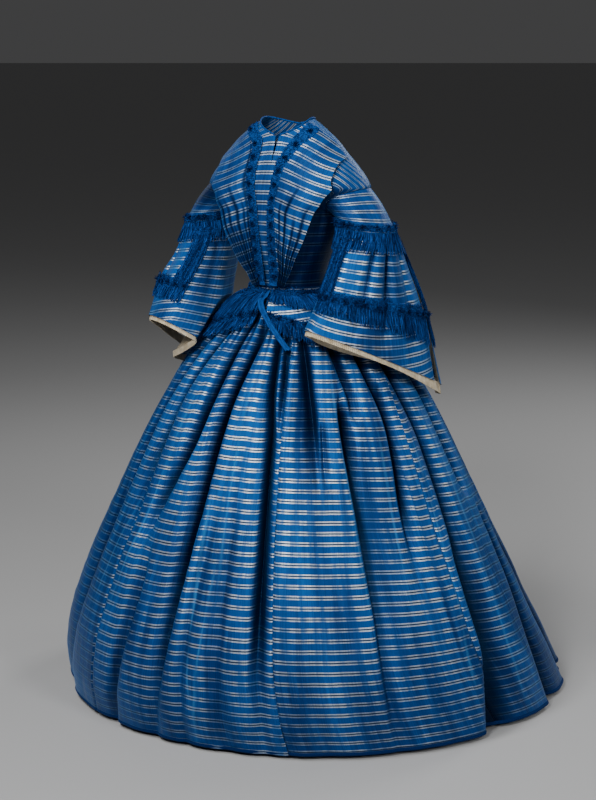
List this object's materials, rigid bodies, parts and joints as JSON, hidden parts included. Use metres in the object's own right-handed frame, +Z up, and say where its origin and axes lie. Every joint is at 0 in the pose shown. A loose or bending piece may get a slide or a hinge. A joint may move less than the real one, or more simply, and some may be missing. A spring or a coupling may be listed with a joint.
{
  "type": "day dress",
  "caption": "Floor-length striped silk day dress with pleated fan fronts, open fringed bell sleeves, a short basque and a full gathered skirt.",
  "frame": {"origin": "centre of the waist, where the wearer holds the dress up", "axes": "+Z up, -Y to the wearer's front, +X to the wearer's left"},
  "size_m": [1.2666, 1.2985, 1.423],
  "materials": {
    "silk": "crisp silk with a soft sheen",
    "trimming": "matt silk braid and floss",
    "cream": "matt silk"
  },
  "bodies": {
    "root": {"skirt_width_1": "silk", "skirt_width_2": "silk", "skirt_width_3": "silk", "skirt_width_4": "silk", "skirt_width_5": "silk", "skirt_width_6": "silk", "skirt_width_7": "silk", "waistband": "silk", "bodice_front_L": "silk", "bodice_side_L": "silk", "bodice_front_R": "silk", "bodice_side_R": "silk", "bodice_back": "silk", "fan_front_L": "silk", "front_ribbon_L": "trimming", "fan_front_R": "silk", "front_ribbon_R": "trimming", "upper_sleeve_L": "silk", "sleeve_band_L": "trimming", "band_fringe_L": "trimming", "bell_front_L": "silk", "bell_front_side_trim_L": "trimming", "bell_front_hem_trim_L": "trimming", "bell_front_fringe_L": "trimming", "lining_front_L": "cream", "bell_back_L": "silk", "bell_back_side_trim_L": "trimming", "bell_back_hem_trim_L": "trimming", "bell_back_fringe_L": "trimming", "lining_back_L": "cream", "sleeve_frill_L": "cream", "upper_sleeve_R": "silk", "sleeve_band_R": "trimming", "band_fringe_R": "trimming", "bell_front_R": "silk", "bell_front_side_trim_R": "trimming", "bell_front_hem_trim_R": "trimming", "bell_front_fringe_R": "trimming", "lining_front_R": "cream", "bell_back_R": "silk", "bell_back_side_trim_R": "trimming", "bell_back_hem_trim_R": "trimming", "bell_back_fringe_R": "trimming", "lining_back_R": "cream", "sleeve_frill_R": "cream", "basque_L": "silk", "basque_trim_L": "trimming", "basque_fringe_L": "trimming", "waist_fringe_L": "trimming", "basque_back": "silk", "basque_trim_back": "trimming", "basque_fringe_back": "trimming", "waist_fringe_back": "trimming", "basque_R": "silk", "basque_trim_R": "trimming", "basque_fringe_R": "trimming", "waist_fringe_R": "trimming", "waist_ribbon_tail": "trimming", "neck_binding": "trimming"}
  },
  "joints": []
}
